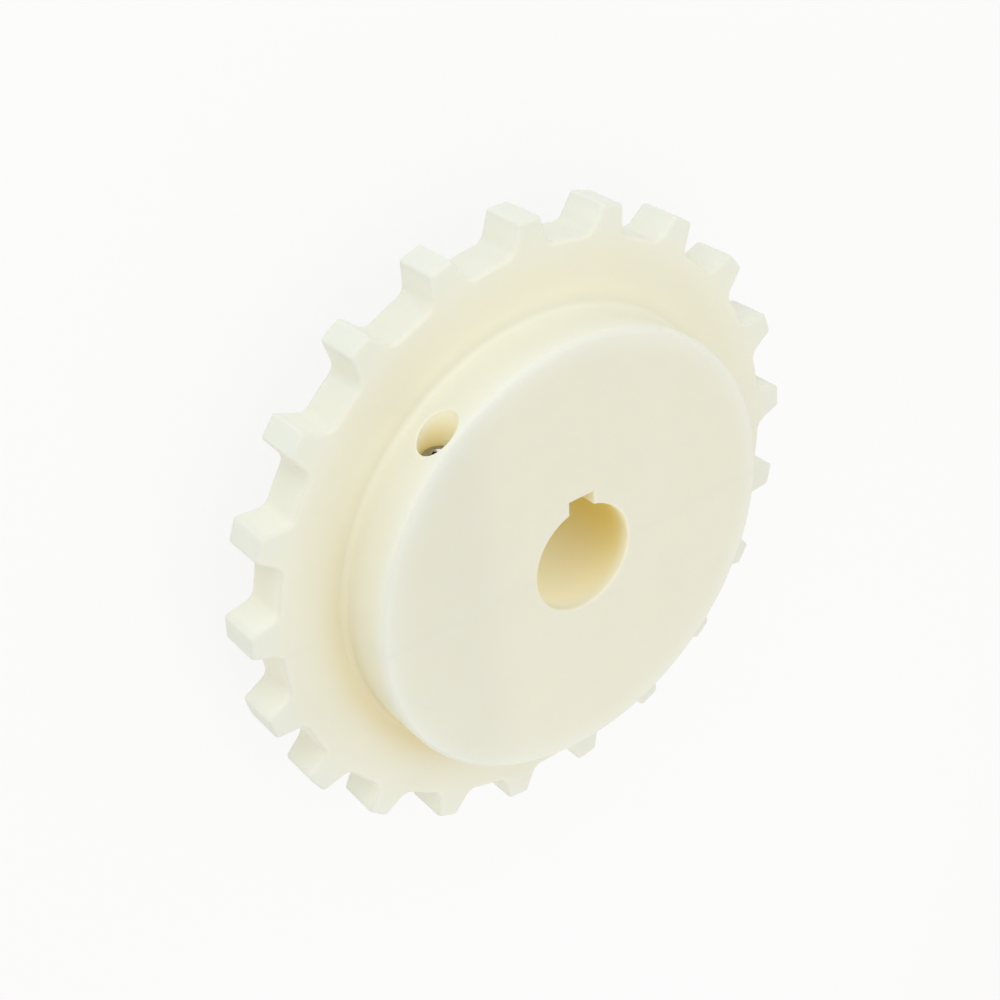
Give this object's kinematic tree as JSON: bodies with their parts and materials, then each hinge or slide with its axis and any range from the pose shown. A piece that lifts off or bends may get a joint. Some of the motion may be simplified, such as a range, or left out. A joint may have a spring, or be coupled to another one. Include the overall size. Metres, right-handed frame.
{
  "type": "split sprocket",
  "caption": "Plastic chain sprocket with a hub on both sides, parted through its keyed bore into halves that two socket-head screws clamp round a shaft.",
  "frame": {"origin": "on the bore axis, in the middle plane of the teeth, which is also the middle of the hub's length", "axes": "+Z along the bore axis towards the front hub face; +Y from the bore axis to the keyway, which is in line with the middle of a tooth; the halves meet on the plane y = 0, and the screws run along Y, one on the -X side near the front face and one on the +X side near the back face"},
  "size_m": [0.1748, 0.1744, 0.0456],
  "materials": {
    "cast_polyamide": "turned and milled natural cast polyamide, ivory, satin",
    "stainless_screw": "bright stainless steel, head turned and knurled",
    "stainless_nut": "bright stainless steel, flats pressed"
  },
  "bodies": {
    "root": {"keyed_half": "cast_polyamide", "plain_half": "cast_polyamide", "clamp_screw_1": "stainless_screw", "clamp_screw_2": "stainless_screw", "clamp_nut_1": "stainless_nut", "clamp_nut_2": "stainless_nut"}
  },
  "joints": []
}
